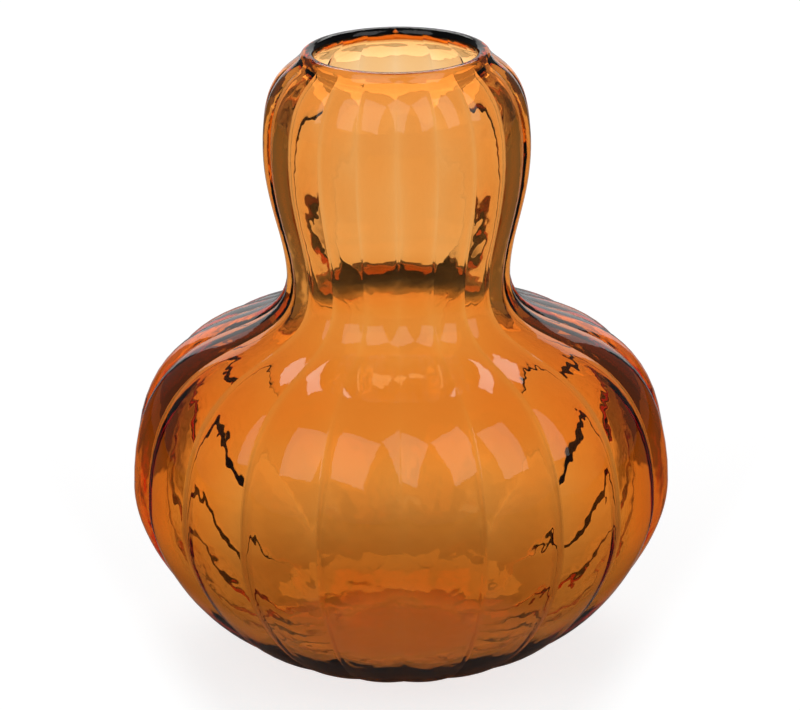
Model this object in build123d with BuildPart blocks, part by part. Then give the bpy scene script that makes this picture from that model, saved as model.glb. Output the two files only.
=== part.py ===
"""Gourd vase: one piece of mould-blown glass with twenty lobes, standing on +Z with its foot at z = 0."""

import os
from math import cos, pi, sin, sqrt

from build123d import *

# Outline of the glass, in millimetres from the axis
foot_radius = 31.0
belly_radius = 95.0
waist_radius = 39.4
bulb_radius = 46.8
mouth_radius = 33.0

# Rises from the table to the widest belly, and on to the narrowest waist, the widest bulb and the rim
belly_rise = 64.3
waist_rise = 75.0
bulb_rise = 47.7
crown_rise = 32.0

# How far each curve of the outline keeps its direction before it bends
underside_pull = 35.0
belly_pull_down = 22.7
belly_pull_up = 67.8
waist_pull_down = 31.0
waist_pull_up = 14.2
bulb_pull_down = 20.4
bulb_pull_up = 25.2
mouth_pull = 5.3

# Slopes, in degrees: the underside rises from level, the mouth leans in from upright
underside_rise = 3.0
mouth_lean = 24.0

# Thickness of the glass, and the angle at which the round of the rim ends in a narrow flat
rim_wall = 4.8
neck_wall = 3.4
belly_wall = 5.8
base_thickness = 6.5
rim_end = 75.0

# Lobes and the grooves between them: the depth is a share of the radius and fades out below the rim
lobe_count = 20
groove_share = 0.024
groove_fade = 9.0

# Straight bands that each curve of the outline is drawn with
underside_bands = 12
shoulder_bands = 14
neck_bands = 6
crown_bands = 7
rim_bands = 3


def heading(angle):
    """Unit direction at an angle in degrees, counted from the first axis."""
    return Vector(cos(angle * pi / 180), sin(angle * pi / 180))


def wall_points(foot_end, belly, waist, bulb, mouth, inset):
    """Points from foot to mouth on four curves that pass the belly, the waist and the bulb upright."""
    up = Vector(0, 1)
    along_underside = foot_end + heading(underside_rise) * underside_pull
    over_belly = belly + up * (belly_pull_up - inset)
    under_waist = waist - up * (waist_pull_down + inset)
    under_mouth = mouth - heading(90 + mouth_lean) * mouth_pull
    with BuildLine():
        curves = [
            Bezier(foot_end, along_underside, belly - up * belly_pull_down, belly),
            Bezier(belly, over_belly, under_waist, waist),
            Bezier(waist, waist + up * waist_pull_up, bulb - up * bulb_pull_down, bulb),
            Bezier(bulb, bulb + up * bulb_pull_up, under_mouth, mouth),
        ]
    points = [foot_end]
    for curve, bands in zip(curves, [underside_bands, shoulder_bands, neck_bands, crown_bands]):
        points += [curve @ (band / bands) for band in range(1, bands + 1)]
    return points


def rim_points(start, end):
    """Points over the round of the rim, after the one at the start angle."""
    steps = [start + (end - start) * band / rim_bands for band in range(1, rim_bands + 1)]
    return [rim_center + heading(angle) * rim_wall / 2 for angle in steps]


# Heights above the table
waist_height = belly_rise + waist_rise
bulb_height = waist_height + bulb_rise
total_height = bulb_height + crown_rise

# The fire-polished rim is a half round that both faces of the wall run into
rim_center = Vector(mouth_radius - rim_wall / 2, total_height - heading(rim_end).Y * rim_wall / 2)
outer_mouth = rim_center + heading(mouth_lean) * rim_wall / 2
inner_mouth = rim_center - heading(mouth_lean) * rim_wall / 2

# Outlines of the outside and of the inside, with the radius along X and the height along Y
outside = wall_points(
    Vector(foot_radius, 0),
    Vector(belly_radius, belly_rise),
    Vector(waist_radius, waist_height),
    Vector(bulb_radius, bulb_height),
    outer_mouth,
    0,
)
outside += rim_points(mouth_lean, rim_end)
inside = wall_points(
    Vector(foot_radius, base_thickness),
    Vector(belly_radius - belly_wall, belly_rise),
    Vector(waist_radius - neck_wall, waist_height),
    Vector(bulb_radius - neck_wall, bulb_height),
    inner_mouth,
    belly_wall,
)
inside += rim_points(180 + mouth_lean, 180 - rim_end)

with BuildPart() as vessel:
    # Outside: level sections of convex arcs that meet in grooves, joined from foot to rim
    turn = 360 / lobe_count
    for point in outside:
        crest = point.X
        fade = min(1.0, max(0.0, outer_mouth.Y - point.Y) / groove_fade)
        groove = crest * (1 - groove_share * sqrt(fade))
        with BuildSketch(Plane.XY.offset(point.Y)):
            with BuildLine():
                for lobe in range(lobe_count):
                    ThreePointArc(
                        heading(turn * lobe) * groove,
                        heading(turn * (lobe + 0.5)) * crest,
                        heading(turn * (lobe + 1)) * groove,
                    )
            make_face()
    loft(ruled=True)

    # Inside: an open hollow with a flat behind each groove, which keeps the wall even, and a round mouth
    for point in inside:
        with BuildSketch(Plane.XY.offset(point.Y)):
            if point.Y > inner_mouth.Y:
                Circle(point.X)
            else:
                RegularPolygon(point.X, lobe_count, rotation=turn / 2)
    loft(ruled=True, mode=Mode.SUBTRACT)

os.makedirs("parts", exist_ok=True)
vessel.part.label = "glass_vessel"
export_step(vessel.part, "parts/glass_vessel.step")
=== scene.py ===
# %% [markdown]
# # A gourd vase of amber glass
#
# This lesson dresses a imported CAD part, a mould-blown vase with twenty lobes, so that it looks like glass.
# The CAD part gives the frame: sizes are in metres, +Z is up, and the foot stands at z = 0.
# The glass gets a finer mesh of its own, made with Geometry Nodes, because refraction shows every flat
# and every ripple.

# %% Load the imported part
import math

import bpy
from mathutils import Matrix, Vector


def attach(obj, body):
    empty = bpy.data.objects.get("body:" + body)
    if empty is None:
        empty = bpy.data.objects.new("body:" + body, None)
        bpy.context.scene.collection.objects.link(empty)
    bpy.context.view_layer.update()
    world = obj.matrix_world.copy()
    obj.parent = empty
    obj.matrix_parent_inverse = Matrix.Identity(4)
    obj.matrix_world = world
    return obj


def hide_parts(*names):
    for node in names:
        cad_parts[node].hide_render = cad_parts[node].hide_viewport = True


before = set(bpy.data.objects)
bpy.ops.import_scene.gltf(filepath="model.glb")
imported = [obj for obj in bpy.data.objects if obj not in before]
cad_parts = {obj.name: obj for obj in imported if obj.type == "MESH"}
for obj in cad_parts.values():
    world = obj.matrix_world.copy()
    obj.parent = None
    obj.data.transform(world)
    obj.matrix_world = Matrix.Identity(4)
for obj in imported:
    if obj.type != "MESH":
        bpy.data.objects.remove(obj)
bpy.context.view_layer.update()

# %% [markdown]
# ## Sizes
#
# The outline is the one that the CAD solid has, written again in millimetres and turned into metres.
# A blown vase has few driving sizes: where the wall stands upright (belly, waist, bulb), how thick the
# glass is, and how far each curve keeps its direction before it bends, which is called its pull here.

# %% Driving sizes of the vase
MM = 0.001
LOBES = 20

foot_radius, belly_radius, waist_radius, bulb_radius, mouth_radius = 31.0, 95.0, 39.4, 46.8, 33.0
belly_height, waist_height, bulb_height, total_height = 64.3, 139.3, 187.0, 219.0
rim_wall, neck_wall, belly_wall, base_thickness = 4.8, 3.4, 5.8, 6.5
underside_rise, mouth_lean = 3.0, 24.0

axis_pull, underside_pull, mouth_pull = 10.0, 35.0, 5.3
belly_pull_down, belly_pull_up = 22.7, 67.8
waist_pull_down, waist_pull_up = 31.0, 14.2
bulb_pull_down, bulb_pull_up = 20.4, 25.2
print("vase: %.0f mm over the crests, %.0f mm tall, %d lobes" % (2 * belly_radius, total_height, LOBES))

# %% [markdown]
# ## The outline curve
#
# A glassmaker thinks of the vase as one wall seen in section: out along the underside, up over belly,
# waist and bulb, round the fire-polished rim, and back down the inside to a thick floor.
# One Bezier spline draws that whole section with thirteen points. The distance from the axis runs along X,
# the height along Y.
# The spline's radius isn't a thickness here: it says how much of the lobes a point takes. The outside
# takes them all. The inside follows them nearly all the way in the belly and only faintly in the neck,
# where each lobe then works as a lens and shows as a soft stripe.

# %% Directions and handles of the outline
def heading(angle):
    """Unit direction at an angle in degrees from level."""
    return Vector((math.cos(math.radians(angle)), math.sin(math.radians(angle))))


def arc_handle(angle):
    """Length of a Bezier handle for an arc of the rim."""
    return 4 / 3 * math.tan(math.radians(angle) / 4) * rim_wall / 2


up = Vector((0, 1))
level = Vector((1, 0))
lean_up = heading(90 + mouth_lean)
underside = heading(underside_rise)
rim_center = Vector((mouth_radius - rim_wall / 2, total_height - rim_wall / 2))
outer_mouth = rim_center + heading(mouth_lean) * rim_wall / 2
inner_mouth = rim_center - heading(mouth_lean) * rim_wall / 2
rim_out, rim_in = arc_handle(90 - mouth_lean), arc_handle(90 + mouth_lean)
print("rim: round of %.1f mm, leaning %.0f degrees" % (rim_wall, mouth_lean))

# %% Draw the outline of the wall
ALL_LOBES, NECK_LOBES, BELLY_LOBES = 1.0, 0.3, 0.88
CURVE_STEPS = 25

# Each row: distance from the axis and height, handle before the point, handle after it, share of the lobes
wall_outline = [
    ((0, 0), -level * axis_pull, level * axis_pull, ALL_LOBES),
    ((foot_radius, 0), -level * axis_pull, underside * underside_pull, ALL_LOBES),
    ((belly_radius, belly_height), -up * belly_pull_down, up * belly_pull_up, ALL_LOBES),
    ((waist_radius, waist_height), -up * waist_pull_down, up * waist_pull_up, ALL_LOBES),
    ((bulb_radius, bulb_height), -up * bulb_pull_down, up * bulb_pull_up, ALL_LOBES),
    (outer_mouth, -lean_up * mouth_pull, lean_up * rim_out, ALL_LOBES),
    (rim_center + up * rim_wall / 2, level * rim_out, -level * rim_in, ALL_LOBES),
    (inner_mouth, lean_up * rim_in, -lean_up * mouth_pull, NECK_LOBES),
    ((bulb_radius - neck_wall, bulb_height), up * bulb_pull_up, -up * bulb_pull_down, NECK_LOBES),
    ((waist_radius - neck_wall, waist_height),
     up * waist_pull_up, -up * (waist_pull_down + belly_wall), NECK_LOBES),
    ((belly_radius - belly_wall, belly_height),
     up * (belly_pull_up - belly_wall), -up * belly_pull_down, BELLY_LOBES),
    ((foot_radius, base_thickness), underside * underside_pull, -level * axis_pull, BELLY_LOBES),
    ((0, base_thickness), level * axis_pull, -level * axis_pull, BELLY_LOBES),
]

outline_data = bpy.data.curves.new("wall_outline", "CURVE")
outline_data.dimensions = "2D"
outline_data.fill_mode = "NONE"
outline_data.resolution_u = CURVE_STEPS
spline = outline_data.splines.new("BEZIER")
spline.bezier_points.add(len(wall_outline) - 1)
for knot, (place, before, after, share) in zip(spline.bezier_points, wall_outline):
    place = Vector(place)
    knot.handle_left_type = knot.handle_right_type = "FREE"
    knot.co = (place * MM).to_3d()
    knot.handle_left = ((place + before) * MM).to_3d()
    knot.handle_right = ((place + after) * MM).to_3d()
    knot.radius = share
outline_curve = bpy.data.objects.new("wall_outline", outline_data)
bpy.context.scene.collection.objects.link(outline_curve)
print("outline:", len(wall_outline), "points")

# %% [markdown]
# ## Amber glass
#
# The real glass is coloured through its body, so thick places are deep red-brown and thin ones pale honey.
# A colour on the surface can't do that: the colour sits in the volume, as absorption per metre of glass.
# The surface keeps a faint change of tint and gloss, as blown glass has from the mould and the flame, and
# a fine ripple. The ripple is shallow, but it makes the dark lines seen through the belly run unevenly,
# as they do in blown glass.
# The neck looks deeper than its thin wall alone would make it, so the tint of the surface deepens from the
# shoulder up.

# %% Helpers for node trees
def place_node(tree, kind, **values):
    """Adds a node to a tree and sets its properties."""
    node = tree.nodes.new(kind)
    for key, value in values.items():
        setattr(node, key, value)
    return node


def wire(tree, source, target):
    """Joins an output socket to an input socket."""
    tree.links.new(source, target)


def ramp_node(tree, value, span, low, high, shape="LINEAR"):
    """Adds a step from one value to another while the first value crosses a span. Returns its output."""
    node = place_node(tree, "ShaderNodeMapRange", interpolation_type=shape)
    wire(tree, value, node.inputs["Value"])
    for socket, number in zip(node.inputs[1:5], (*span, low, high)):
        socket.default_value = number
    return node.outputs["Result"]


def noise_node(tree, vector, scale, detail):
    """Adds a soft noise of a given scale per metre. Returns its output."""
    node = place_node(tree, "ShaderNodeTexNoise")
    wire(tree, vector, node.inputs["Vector"])
    node.inputs["Scale"].default_value = scale
    node.inputs["Detail"].default_value = detail
    return node.outputs["Fac"]


# %% Make the amber glass
GLASS_IOR = 1.51
ABSORPTION_PER_M = Vector((10.0, 110.0, 300.0))
DENSITY = 312.0

# Clouds of tint and gloss
CLOUD_SCALE, CLOUD_DETAIL = 22.0, 4.0
CLOUD_TINTS = [(0.3, (1.0, 0.965, 0.92, 1)), (0.7, (1.0, 0.99, 0.975, 1))]
HAZE_SPAN, HAZE_MOST = (0.35, 0.75), 0.03

# Deeper tint of the neck, which begins and ends at these heights
NECK_TINT = (1.0, 0.88, 0.76, 1.0)
NECK_SPAN = (0.1, 0.16)

# Fine ripple of the surface
RIPPLE_SCALE, RIPPLE_DETAIL = 90.0, 2.0
RIPPLE_STRENGTH, RIPPLE_DISTANCE = 0.5, 0.0003


def make_amber_glass():
    material = bpy.data.materials.new("amber_glass")
    material.use_nodes = True
    tree = material.node_tree
    tree.nodes.clear()
    output = place_node(tree, "ShaderNodeOutputMaterial")
    glass = place_node(tree, "ShaderNodeBsdfPrincipled")
    glass.inputs["IOR"].default_value = GLASS_IOR
    glass.inputs["Transmission Weight"].default_value = 1.0
    body = place_node(tree, "ShaderNodeVolumeAbsorption")
    body.inputs["Color"].default_value = [1 - value / DENSITY for value in ABSORPTION_PER_M] + [1.0]
    body.inputs["Density"].default_value = DENSITY

    place = place_node(tree, "ShaderNodeTexCoord").outputs["Object"]
    cloud = noise_node(tree, place, CLOUD_SCALE, CLOUD_DETAIL)
    haze = ramp_node(tree, cloud, HAZE_SPAN, 0.0, HAZE_MOST)
    tint = place_node(tree, "ShaderNodeValToRGB")
    wire(tree, cloud, tint.inputs["Fac"])
    for stop, (position, color) in zip(tint.color_ramp.elements, CLOUD_TINTS):
        stop.position, stop.color = position, color

    # The Mix node's color sockets are told apart by number: factor 0, colors 6 and 7, result 2
    parts = place_node(tree, "ShaderNodeSeparateXYZ")
    wire(tree, place, parts.inputs[0])
    deepen = place_node(tree, "ShaderNodeMix", data_type="RGBA", blend_type="MULTIPLY")
    wire(tree, ramp_node(tree, parts.outputs["Z"], NECK_SPAN, 0.0, 1.0), deepen.inputs[0])
    wire(tree, tint.outputs["Color"], deepen.inputs[6])
    deepen.inputs[7].default_value = NECK_TINT

    relief = place_node(tree, "ShaderNodeBump")
    wire(tree, noise_node(tree, place, RIPPLE_SCALE, RIPPLE_DETAIL), relief.inputs["Height"])
    relief.inputs["Strength"].default_value = RIPPLE_STRENGTH
    relief.inputs["Distance"].default_value = RIPPLE_DISTANCE

    wire(tree, deepen.outputs[2], glass.inputs["Base Color"])
    wire(tree, haze, glass.inputs["Roughness"])
    wire(tree, relief.outputs["Normal"], glass.inputs["Normal"])
    wire(tree, glass.outputs["BSDF"], output.inputs["Surface"])
    wire(tree, body.outputs["Volume"], output.inputs["Volume"])
    return material


amber_glass = make_amber_glass()
kept_light = [round(math.exp(-value * belly_wall * MM), 2) for value in ABSORPTION_PER_M]
print("amber glass: the belly's wall keeps %s of red, green and blue" % kept_light)

# %% [markdown]
# ## The lobed wall
#
# The mould has twenty hollows side by side, so the glass has twenty round lobes that meet in narrow grooves.
# One could model one lobe and array it, but the lobe's curve changes with the radius from foot to rim.
# A rule does it better: for each point of the outline and each direction, work out the radius of a round
# lobe there.
# Geometry Nodes first sweep the outline round a circle to get the faces, and then set every point from
# the rule.

# %% Name the inputs of the wall
wall_tree = bpy.data.node_groups.new("Lobed glass wall", "GeometryNodeTree")
wall_tree.is_modifier = True
wall_tree.interface.new_socket("Geometry", in_out="OUTPUT", socket_type="NodeSocketGeometry")
wall_inputs = [
    ("Outline", "NodeSocketObject", outline_curve),
    ("Lobes", "NodeSocketInt", LOBES),
    ("Steps per lobe", "NodeSocketInt", 14),
    ("Groove share", "NodeSocketFloat", 0.024),
    ("Groove round", "NodeSocketFloat", 0.00015),
    ("Inside round", "NodeSocketFloat", 0.012),
    ("Mouth height", "NodeSocketFloat", outer_mouth.y * MM),
    ("Groove fade", "NodeSocketFloat", 9.0 * MM),
    ("Foot radius", "NodeSocketFloat", foot_radius * MM),
    ("Ripple depth", "NodeSocketFloat", 0.5 * MM),
    ("Ripple scale", "NodeSocketFloat", 45.0),
    ("Seed", "NodeSocketFloat", 4.0),
    ("Glass", "NodeSocketMaterial", amber_glass),
]
wall_keys = {}
for name, kind, _ in wall_inputs:
    wall_keys[name] = wall_tree.interface.new_socket(name, in_out="INPUT", socket_type=kind).identifier
wall_input = place_node(wall_tree, "NodeGroupInput").outputs
print("wall inputs:", ", ".join(wall_keys))


# %% Small helpers for the rule
def math_node(tree, operation, first, second=None, third=None):
    """Adds a Math node; each argument is a number or an output socket. Returns its output."""
    node = place_node(tree, "ShaderNodeMath", operation=operation)
    for socket, value in zip(node.inputs, (first, second, third)):
        if value is None:
            continue
        if isinstance(value, (int, float)):
            socket.default_value = value
        else:
            wire(tree, value, socket)
    return node.outputs[0]


def rule(operation, *values):
    """Adds one step of arithmetic to the wall's tree. Returns its output."""
    return math_node(wall_tree, operation, *values)


def capture(geometry, kind, name, value):
    """Stores a value on the points of a geometry. Returns the geometry and the stored value."""
    node = place_node(wall_tree, "GeometryNodeCaptureAttribute", domain="POINT")
    node.capture_items.new(kind, name)
    wire(wall_tree, geometry, node.inputs["Geometry"])
    wire(wall_tree, value, node.inputs[name])
    return node.outputs["Geometry"], node.outputs[name]


# %% Sweep the outline round the axis
outline_info = place_node(wall_tree, "GeometryNodeObjectInfo", transform_space="ORIGINAL")
wire(wall_tree, wall_input["Outline"], outline_info.inputs["Object"])
outline_points = place_node(wall_tree, "GeometryNodeResampleCurve", mode="EVALUATED")
wire(wall_tree, outline_info.outputs["Geometry"], outline_points.inputs["Curve"])
outline_place = place_node(wall_tree, "GeometryNodeInputPosition").outputs[0]
lobe_share = place_node(wall_tree, "GeometryNodeInputRadius").outputs[0]
profile, profile_place = capture(outline_points.outputs["Curve"], "VECTOR", "Place", outline_place)
profile, profile_share = capture(profile, "FLOAT", "Lobe share", lobe_share)

# The steps across a lobe follow a sine, so that they stand closer together next to the grooves
circle = place_node(wall_tree, "GeometryNodeCurvePrimitiveCircle")
around = rule("MULTIPLY", wall_input["Lobes"], wall_input["Steps per lobe"])
wire(wall_tree, around, circle.inputs["Resolution"])
index = place_node(wall_tree, "GeometryNodeInputIndex").outputs[0]
lobe_part = rule("DIVIDE", index, wall_input["Steps per lobe"])
lobe_number = rule("FLOOR", lobe_part)
across = rule("MULTIPLY_ADD", rule("FRACT", lobe_part), math.pi, -math.pi / 2)
half_turn = rule("DIVIDE", math.pi, wall_input["Lobes"])
from_crest = rule("MULTIPLY", rule("SINE", across), half_turn)
crest_number = rule("MULTIPLY_ADD", lobe_number, 2.0, 1.0)
direction = rule("MULTIPLY_ADD", crest_number, half_turn, from_crest)
ring, ring_direction = capture(circle.outputs["Curve"], "FLOAT", "Direction", direction)
ring, ring_from_crest = capture(ring, "FLOAT", "From crest", from_crest)

sweep = place_node(wall_tree, "GeometryNodeCurveToMesh")
wire(wall_tree, ring, sweep.inputs["Curve"])
wire(wall_tree, profile, sweep.inputs["Profile Curve"])
print("sweep:", len(wall_tree.nodes), "nodes so far")

# %% [markdown]
# On the real vase each groove is cut a fixed share into the radius and runs out just under the smooth rim.
# In level section a lobe is an arc: its centre lies at a share of the radius from the axis, so that groove,
# crest and groove are on it. Where two arcs meet, the larger one counts, and a soft maximum rounds the
# groove between them: sharply outside, where the mould shaped it, and widely inside, where air did.

# %% Work out the depth of the grooves
place_parts = place_node(wall_tree, "ShaderNodeSeparateXYZ")
wire(wall_tree, profile_place, place_parts.inputs[0])
crest_radius, height = place_parts.outputs[0], place_parts.outputs[1]

below_mouth = rule("SUBTRACT", wall_input["Mouth height"], height)
fade_node = place_node(wall_tree, "ShaderNodeClamp")
wire(wall_tree, rule("DIVIDE", below_mouth, wall_input["Groove fade"]), fade_node.inputs["Value"])
fade = rule("SQRT", fade_node.outputs[0])
groove_share = rule("MULTIPLY", wall_input["Groove share"], profile_share)
groove_share = rule("MULTIPLY", groove_share, fade)

# %% Work out the round lobes
OUTSIDE_LIMIT = 0.99

groove_ratio = rule("SUBTRACT", 1.0, groove_share)
gap = rule("SUBTRACT", 1.0, rule("MULTIPLY", groove_ratio, rule("COSINE", half_turn)))
square = rule("SUBTRACT", 1.0, rule("MULTIPLY", groove_ratio, groove_ratio))
arc_center = rule("DIVIDE", square, rule("MULTIPLY", gap, 2.0))
arc_radius = rule("SUBTRACT", 1.0, arc_center)


def arc_reach(angle):
    """Share of the crest's radius at which a direction leaves the lobe's arc."""
    offset = rule("MULTIPLY", arc_center, rule("SINE", angle))
    radius_squared = rule("MULTIPLY", arc_radius, arc_radius)
    under_root = rule("SUBTRACT", radius_squared, rule("MULTIPLY", offset, offset))
    along = rule("MULTIPLY", arc_center, rule("COSINE", angle))
    return rule("ADD", along, rule("SQRT", under_root))


own_lobe = arc_reach(ring_from_crest)
next_lobe = arc_reach(rule("SUBTRACT", rule("MULTIPLY", half_turn, 2.0), rule("ABSOLUTE", ring_from_crest)))
is_outside = rule("GREATER_THAN", profile_share, OUTSIDE_LIMIT)
round_node = place_node(wall_tree, "ShaderNodeMix", data_type="FLOAT")
wire(wall_tree, is_outside, round_node.inputs["Factor"])
wire(wall_tree, wall_input["Inside round"], round_node.inputs["A"])
wire(wall_tree, wall_input["Groove round"], round_node.inputs["B"])
lobe_reach = rule("SMOOTH_MAX", own_lobe, next_lobe, round_node.outputs["Result"])
lobe_reach = rule("MINIMUM", lobe_reach, 1.0)
lobe_radius = rule("MULTIPLY", crest_radius, lobe_reach)
print("lobes:", len(wall_tree.nodes), "nodes so far")

# %% [markdown]
# Blown glass is never quite even. A soft noise shifts each face inwards by up to half a millimetre,
# differently inside and outside, so lights seen in the glass and the background seen through it bend a
# little, as they do in the real wall. Toward the axis the shift fades out, so that the poles stay closed.

# %% Add the uneven blown surface and set the points
OUTSIDE_SEED_STEP = 7.0
unit_direction = place_node(wall_tree, "ShaderNodeCombineXYZ")
wire(wall_tree, rule("COSINE", ring_direction), unit_direction.inputs[0])
wire(wall_tree, rule("SINE", ring_direction), unit_direction.inputs[1])


def point_at(radius):
    """Position at a radius in the point's own direction and at its own height."""
    out = place_node(wall_tree, "ShaderNodeVectorMath", operation="SCALE")
    wire(wall_tree, unit_direction.outputs[0], out.inputs[0])
    wire(wall_tree, radius, out.inputs["Scale"])
    lift = place_node(wall_tree, "ShaderNodeCombineXYZ")
    wire(wall_tree, height, lift.inputs[2])
    total = place_node(wall_tree, "ShaderNodeVectorMath", operation="ADD")
    wire(wall_tree, out.outputs[0], total.inputs[0])
    wire(wall_tree, lift.outputs[0], total.inputs[1])
    return total.outputs[0]


ripple_noise = place_node(wall_tree, "ShaderNodeTexNoise", noise_dimensions="4D")
ripple_noise.inputs["Detail"].default_value = 1.0
ripple_seed = rule("MULTIPLY_ADD", is_outside, OUTSIDE_SEED_STEP, wall_input["Seed"])
wire(wall_tree, point_at(lobe_radius), ripple_noise.inputs["Vector"])
wire(wall_tree, ripple_seed, ripple_noise.inputs["W"])
wire(wall_tree, wall_input["Ripple scale"], ripple_noise.inputs["Scale"])
ripple = rule("MULTIPLY", ripple_noise.outputs["Fac"], wall_input["Ripple depth"])
toward_axis = rule("MINIMUM", rule("DIVIDE", crest_radius, wall_input["Foot radius"]), 1.0)
ripple = rule("MULTIPLY", ripple, toward_axis)
final_radius = rule("SUBTRACT", lobe_radius, ripple)

set_points = place_node(wall_tree, "GeometryNodeSetPosition")
wire(wall_tree, sweep.outputs["Mesh"], set_points.inputs["Geometry"])
wire(wall_tree, point_at(final_radius), set_points.inputs["Position"])

# %% [markdown]
# The sweep leaves a ring of points on the axis, at the middle of the underside and of the floor.
# Real glass has no hole there. Merging points that lie at one place closes both poles, without a patch.

# %% Close the poles and finish the tree
SAME_PLACE = 1e-6
close_poles = place_node(wall_tree, "GeometryNodeMergeByDistance")
close_poles.inputs["Distance"].default_value = SAME_PLACE
smooth = place_node(wall_tree, "GeometryNodeSetShadeSmooth")
realize = place_node(wall_tree, "GeometryNodeRealizeInstances")
dress = place_node(wall_tree, "GeometryNodeSetMaterial")
wall_output = place_node(wall_tree, "NodeGroupOutput")
wire(wall_tree, wall_input["Glass"], dress.inputs["Material"])
finished = set_points.outputs["Geometry"]
for step in (close_poles, smooth, realize, dress):
    wire(wall_tree, finished, step.inputs["Geometry"])
    finished = step.outputs["Geometry"]
wire(wall_tree, finished, wall_output.inputs[0])
print("wall tree:", len(wall_tree.nodes), "nodes")

# %% [markdown]
# The tree is run once and its result kept as a plain mesh, because the part is exported as meshes.
# A glass mesh must be closed and face outwards everywhere, or light would not know when it enters and
# leaves the glass. The volume tells which way the faces point, and Euler's count of points, edges and
# faces is off for a shell with a hole.

# %% Run the tree and keep the mesh
maker = bpy.data.objects.new("wall_maker", bpy.data.meshes.new("wall_maker"))
bpy.context.scene.collection.objects.link(maker)
modifier = maker.modifiers.new("Lobed glass wall", "NODES")
modifier.node_group = wall_tree
for name, _, value in wall_inputs:
    modifier[wall_keys[name]] = value
bpy.context.view_layer.update()
graph = bpy.context.evaluated_depsgraph_get()
wall_mesh = bpy.data.meshes.new_from_object(maker.evaluated_get(graph))
wall_mesh.name = "vase_glass"
bpy.data.objects.remove(maker)
bpy.data.objects.remove(outline_curve)


# %% Check the mesh
def signed_volume(mesh):
    """Volume that the faces enclose, positive when they face outwards."""
    mesh.calc_loop_triangles()
    points = [vertex.co for vertex in mesh.vertices]
    corners = (triangle.vertices for triangle in mesh.loop_triangles)
    return sum(points[a].dot(points[b].cross(points[c])) for a, b, c in corners) / 6


ML_PER_M3 = 1e6
glass_volume = signed_volume(wall_mesh)
if glass_volume < 0:
    wall_mesh.flip_normals()
    glass_volume = -glass_volume
vase_glass = bpy.data.objects.new("vase_glass", wall_mesh)
bpy.context.scene.collection.objects.link(vase_glass)
euler_gap = len(wall_mesh.edges) - len(wall_mesh.vertices) - len(wall_mesh.polygons) + 2
print("glass: %d triangles, %.0f ml" % (len(wall_mesh.loop_triangles), glass_volume * ML_PER_M3))
print("Euler gap, 0 for a closed shell:", euler_gap)

# %% [markdown]
# The glass is one rigid piece, so it rides on the part's only body. It stands for the CAD solid, which has
# flats inside and fewer faces and stays for contact alone.

# %% Set the glass in the frame
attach(vase_glass, "root")
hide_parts("glass_vessel")

# %% [markdown]
# ## Table and light
#
# Clear glass shows what lies round it, so a glass picture is made with its ground: a bright white strip
# behind the vase, hardly wider than it, and a dim room beside that. The strip fills the glass with its own
# colour, and the room draws the brown edges.
# One large table does both. To the camera it is white, and to the glass only a cross of two strips is
# bright, so that one of its arms lies behind the vase from each of four sides.
# The table is matt, and paler under and behind the vase, so its shadow stays there. The cross grows dimmer
# toward the foot: a painted shade in its glow, standing in for the belly's shade on the table.

# %% Sizes and levels of the table
TABLE_DROP = 0.0003
TABLE_HALF = 4.0

# A strip's half width at the vase, how much wider it gets per metre, and the width of its soft edge
STRIP_HALF, STRIP_SPREAD, STRIP_EDGE = 0.075, 0.35, 0.03
STRIP_SPAN = (STRIP_HALF, STRIP_HALF + STRIP_EDGE)

# Where the pale matt strip begins in front of the vase, and how far the painted shade of the belly dims the
# glow
FRONT_SPAN = (-0.18, -0.1)
PAINTED_SHADE_SPAN, PAINTED_FOOT_SHADE = (0.05, 0.22), 0.35

# Matt colour and glow, on the strip and beside it
STRIP_MATT, TABLE_MATT = 0.4, 0.06
STRIP_GLOW, TABLE_GLOW = 0.7, 0.2

# Light that the matt strip sends back anyway, which its white glow to the camera is lowered by
STRIP_LIGHT = 0.55


# %% Make the table's finish
def soft_ramp(tree, value, span, low, high):
    """Adds a step with soft ends. Returns its output."""
    return ramp_node(tree, value, span, low, high, "SMOOTHSTEP")


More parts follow.
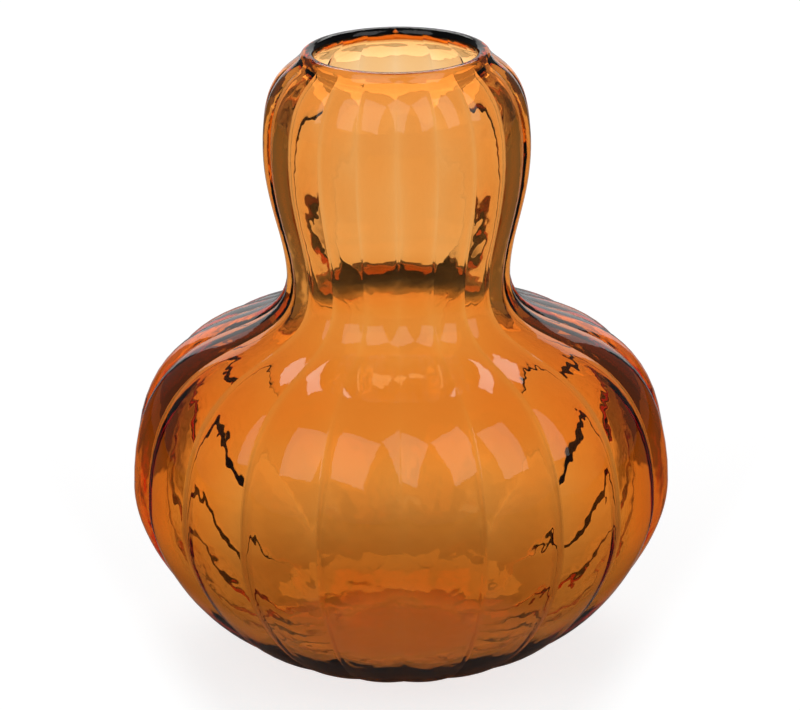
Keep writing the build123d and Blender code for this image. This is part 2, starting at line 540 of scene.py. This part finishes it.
def make_table_white():
    material = bpy.data.materials.new("table_white")
    material.use_nodes = True
    tree = material.node_tree
    tree.nodes.clear()
    place = place_node(tree, "ShaderNodeTexCoord").outputs["Object"]
    parts = place_node(tree, "ShaderNodeSeparateXYZ")
    wire(tree, place, parts.inputs[0])
    flat_x = math_node(tree, "ABSOLUTE", parts.outputs["X"])
    flat_y = math_node(tree, "ABSOLUTE", parts.outputs["Y"])

    # One strip from front to back is paler, and a cross of two glows
    aside = math_node(tree, "MULTIPLY_ADD", parts.outputs["Y"], -STRIP_SPREAD, flat_x)
    band = soft_ramp(tree, aside, STRIP_SPAN, 1.0, 0.0)
    strip = math_node(tree, "MULTIPLY", band, soft_ramp(tree, parts.outputs["Y"], FRONT_SPAN, 0.0, 1.0))
    along = math_node(tree, "MAXIMUM", flat_x, flat_y)
    beside = math_node(tree, "MINIMUM", flat_x, flat_y)
    beside = math_node(tree, "MULTIPLY_ADD", along, -STRIP_SPREAD, beside)
    cross = soft_ramp(tree, beside, STRIP_SPAN, 1.0, 0.0)
    from_axis = place_node(tree, "ShaderNodeVectorMath", operation="LENGTH")
    wire(tree, place, from_axis.inputs[0])
    # Painted shade: the glow dims toward the foot, as if the belly shaded the table there
    shade = soft_ramp(tree, from_axis.outputs["Value"], PAINTED_SHADE_SPAN, PAINTED_FOOT_SHADE, 1.0)

    matt = place_node(tree, "ShaderNodeBsdfDiffuse")
    matt_color = math_node(tree, "MULTIPLY_ADD", strip, STRIP_MATT - TABLE_MATT, TABLE_MATT)
    wire(tree, matt_color, matt.inputs["Color"])
    to_camera = math_node(tree, "MULTIPLY_ADD", strip, -STRIP_MATT * STRIP_LIGHT, 1.0)
    to_glass = math_node(tree, "MULTIPLY_ADD", cross, STRIP_GLOW - TABLE_GLOW, TABLE_GLOW)
    # The glow that the glass sees carries the painted shade of the foot
    to_glass = math_node(tree, "MULTIPLY", to_glass, shade)
    path = place_node(tree, "ShaderNodeLightPath")
    seen = math_node(tree, "MULTIPLY", path.outputs["Is Camera Ray"], to_camera)
    seen = math_node(tree, "MULTIPLY_ADD", path.outputs["Is Transmission Ray"], to_glass, seen)
    glow = place_node(tree, "ShaderNodeEmission")
    wire(tree, seen, glow.inputs["Strength"])
    both = place_node(tree, "ShaderNodeAddShader")
    output = place_node(tree, "ShaderNodeOutputMaterial")
    wire(tree, matt.outputs[0], both.inputs[0])
    wire(tree, glow.outputs[0], both.inputs[1])
    wire(tree, both.outputs[0], output.inputs["Surface"])
    return material


# %% Make the table
table_mesh = bpy.data.meshes.new("table_top")
table_sides = [(-1, -1), (1, -1), (1, 1), (-1, 1)]
table_corners = [(x * TABLE_HALF, y * TABLE_HALF, -TABLE_DROP) for x, y in table_sides]
table_mesh.from_pydata(table_corners, [], [(0, 1, 2, 3)])
table_mesh.materials.append(make_table_white())
table_top = bpy.data.objects.new("table_top", table_mesh)
bpy.context.scene.collection.objects.link(table_top)
print("table: white to the camera, bright strips %.0f mm wide at the vase" % (2 * STRIP_HALF / MM))

# %% [markdown]
# Two large softboxes in front, high to the left and right, put the pale patches on the belly, one in each
# lobe. One high behind the vase puts the pink lights on the shoulder, and a wide dim one low behind it
# lights the rim and the edge of the shoulder.
# All are soft and of a plain level, and the rest of the room is nearly dark, so that nothing else shows in
# the glass.

# %% Hang the softboxes
KEY_LEVEL, BACK_LEVEL, LOW_LEVEL = 1.2, 2.8, 0.6
SOFTBOX_DISTANCE = 1.4
BELLY_CENTER = (0, 0, 0.1)
LOW_PLACE, LOW_AIM = (0, 1.1, 0.35), (0, 0, 0.15)


def around_vase(azimuth, elevation):
    """Place at an angle to the right of the camera's side and an angle above level, seen from the belly."""
    flat = SOFTBOX_DISTANCE * math.cos(math.radians(elevation))
    rise = SOFTBOX_DISTANCE * math.sin(math.radians(elevation))
    turn = math.radians(azimuth)
    return flat * math.sin(turn), -flat * math.cos(turn), BELLY_CENTER[2] + rise


def hang_softbox(name, place, aim, width, depth, level):
    """Adds a rectangular softbox of an even brightness, where 1 is that of a white sheet in plain light."""
    lamp = bpy.data.lights.new(name, "AREA")
    lamp.shape = "RECTANGLE"
    lamp.size, lamp.size_y = width, depth
    lamp.energy = level * math.pi * width * depth
    holder = bpy.data.objects.new(name, lamp)
    holder.location = place
    holder.rotation_euler = (Vector(aim) - Vector(place)).to_track_quat("-Z", "Y").to_euler()
    bpy.context.scene.collection.objects.link(holder)
    print("softbox %s: %.2f by %.2f m, %.1f W" % (name, width, depth, lamp.energy))


hang_softbox("left_softbox", around_vase(-34, 45), BELLY_CENTER, 1.05, 1.2, KEY_LEVEL)
hang_softbox("right_softbox", around_vase(47, 45), BELLY_CENTER, 0.8, 1.2, KEY_LEVEL)
hang_softbox("back_softbox", around_vase(180, 50), BELLY_CENTER, 0.95, 0.8, BACK_LEVEL)
hang_softbox("low_softbox", LOW_PLACE, LOW_AIM, 1.0, 0.7, LOW_LEVEL)

# %% Dim the rest of the room
ROOM_GREY = (0.08, 0.08, 0.081, 1)
room = bpy.data.worlds.new("studio_room")
room.use_nodes = True
room.node_tree.nodes["Background"].inputs["Color"].default_value = ROOM_GREY
room.node_tree.nodes["Background"].inputs["Strength"].default_value = 1.0
bpy.context.scene.world = room
bpy.context.scene.view_settings.view_transform = "Standard"
print("room: grey of %.2f" % ROOM_GREY[0])

# %% [markdown]
# ## Camera
#
# The mouth's ellipse and the outline fix the camera: about 19 degrees above level, about 1.4 m away, with
# a long lens.
# The vase leans a little to the left in the picture, so the camera is rolled by under a degree.

# %% Set the camera
SENSOR_MM, LENS_MM = 36.0, 182.5
CAMERA_PLACE = (0, -1.3447, 0.5762)
CAMERA_AIM = (0, 0, 0.1045)
CAMERA_ROLL = -0.75
CAMERA_SHIFT = (0.0005, 0.0125)

camera_data = bpy.data.cameras.new("photo_camera")
camera_data.sensor_fit = "HORIZONTAL"
camera_data.sensor_width = SENSOR_MM
camera_data.lens = LENS_MM
camera_data.shift_x, camera_data.shift_y = CAMERA_SHIFT
camera = bpy.data.objects.new("photo_camera", camera_data)
camera.location = CAMERA_PLACE
aim = Vector(CAMERA_AIM) - camera.location
roll = Matrix.Rotation(math.radians(CAMERA_ROLL), 3, "Z")
camera.rotation_euler = (aim.to_track_quat("-Z", "Y").to_matrix() @ roll).to_euler()
bpy.context.scene.collection.objects.link(camera)
bpy.context.scene.camera = camera
print("camera: %.2f m from the vase" % aim.length)
